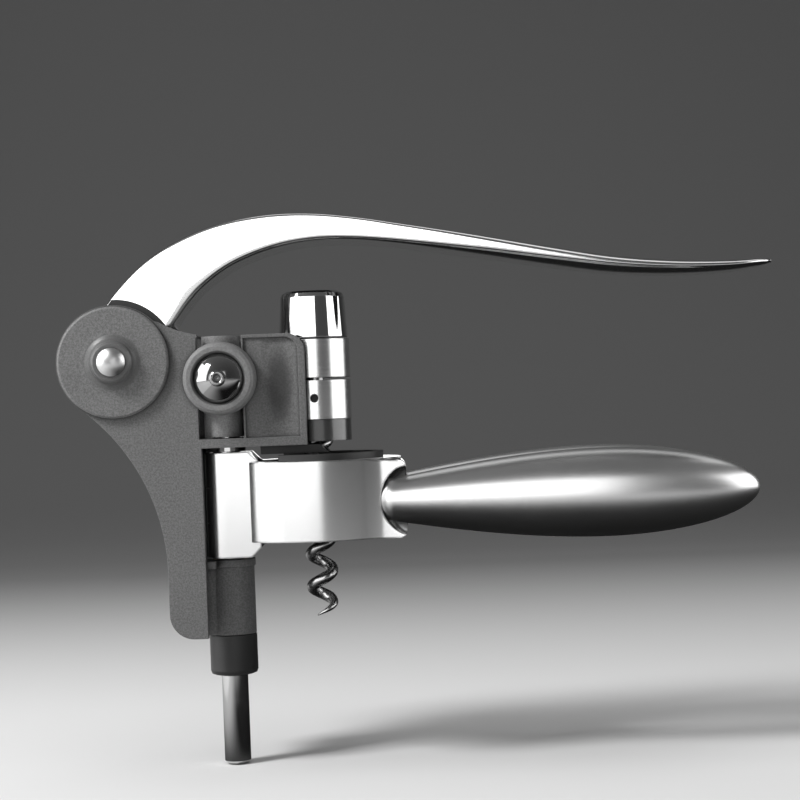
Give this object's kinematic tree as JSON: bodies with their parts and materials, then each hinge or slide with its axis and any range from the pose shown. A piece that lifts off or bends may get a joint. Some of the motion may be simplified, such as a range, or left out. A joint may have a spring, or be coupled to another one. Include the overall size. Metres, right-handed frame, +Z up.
{
  "type": "lever corkscrew",
  "caption": "Lever corkscrew: a curved lever with a gear segment raises a rack carriage and its worm, while hinged jaws with long handles clamp the neck of the bottle.",
  "frame": {"origin": "on the worm's axis, in the plane of the jaws' top where the bottle's mouth sits", "axes": "+Z up along the worm's axis, +X from the post towards the handles' and the lever's tips, +Y to the far side of the pictured view"},
  "size_m": [0.184, 0.0494, 0.1408],
  "materials": {
    "grained_plastic": "fine grain",
    "smooth_plastic": "smooth",
    "grip_rubber": "matte",
    "satin_metal": "satin",
    "polished_metal": "polished",
    "chrome_plate": "mirror",
    "bare_steel": "ground",
    "bronze": "sintered"
  },
  "bodies": {
    "frame": {"frame_near": "grained_plastic", "frame_far": "grained_plastic", "pivot_cover_near": "grained_plastic", "pivot_cover_far": "grained_plastic", "pivot_pin": "chrome_plate", "pivot_rivet_head": "chrome_plate", "frame_screws": "bare_steel", "post_bush": "bronze", "end_cap": "grained_plastic", "mouth_stop": "smooth_plastic", "nut_housing": "satin_metal", "feed_nut": "smooth_plastic", "feed_pins": "bare_steel", "hinge_washer": "chrome_plate"},
    "lever": {"lever_arm": "polished_metal", "drive_gear": "bare_steel", "gear_rivets": "bare_steel"},
    "carriage": {"carriage": "grained_plastic", "rack_bar": "bare_steel", "rack_pin": "bare_steel", "guide_post": "chrome_plate", "cross_bolt": "chrome_plate", "bolt_cap_nut": "chrome_plate", "guide_collar_near": "grained_plastic", "guide_collar_far": "grained_plastic", "head_sleeve": "satin_metal", "top_cap": "chrome_plate", "spindle_bush": "bronze"},
    "worm": {"worm": "bare_steel", "worm_washer": "bare_steel", "worm_nut": "bare_steel"},
    "jaw_near": {"jaw_near": "satin_metal", "jaw_liner_near": "grip_rubber", "handle_near": "satin_metal", "handle_stud_near": "bare_steel"},
    "jaw_far": {"jaw_far": "satin_metal", "jaw_liner_far": "grip_rubber", "handle_far": "satin_metal", "handle_stud_far": "bare_steel"}
  },
  "joints": [
    {"name": "lever_swing", "type": "hinge", "parent": "frame", "child": "lever", "pos_m": [-0.0505, 0, 0.026], "axis": [0, -1, 0], "range_deg": [0, 180]},
    {"name": "carriage_slide", "type": "slide", "parent": "frame", "child": "carriage", "axis": [0, 0, 1], "range_m": [0, 0.0425]},
    {"name": "worm_spin", "type": "hinge", "parent": "carriage", "child": "worm", "pos_m": [0, 0, 0], "axis": [0, 0, 1], "range_deg": [0, 1800]},
    {"name": "jaw_near_swing", "type": "hinge", "parent": "frame", "child": "jaw_near", "pos_m": [-0.0237, 0, -0.0115], "axis": [0, 0, -1], "range_deg": [0, 25]},
    {"name": "jaw_far_swing", "type": "hinge", "parent": "frame", "child": "jaw_far", "pos_m": [-0.0237, 0, -0.0115], "axis": [0, 0, 1], "range_deg": [0, 25]}
  ],
  "couplings": [
    {"joint": "carriage_slide", "follows": "lever_swing", "m_per_rad": 0.0135},
    {"joint": "worm_spin", "follows": "lever_swing", "ratio": 9.979}
  ]
}
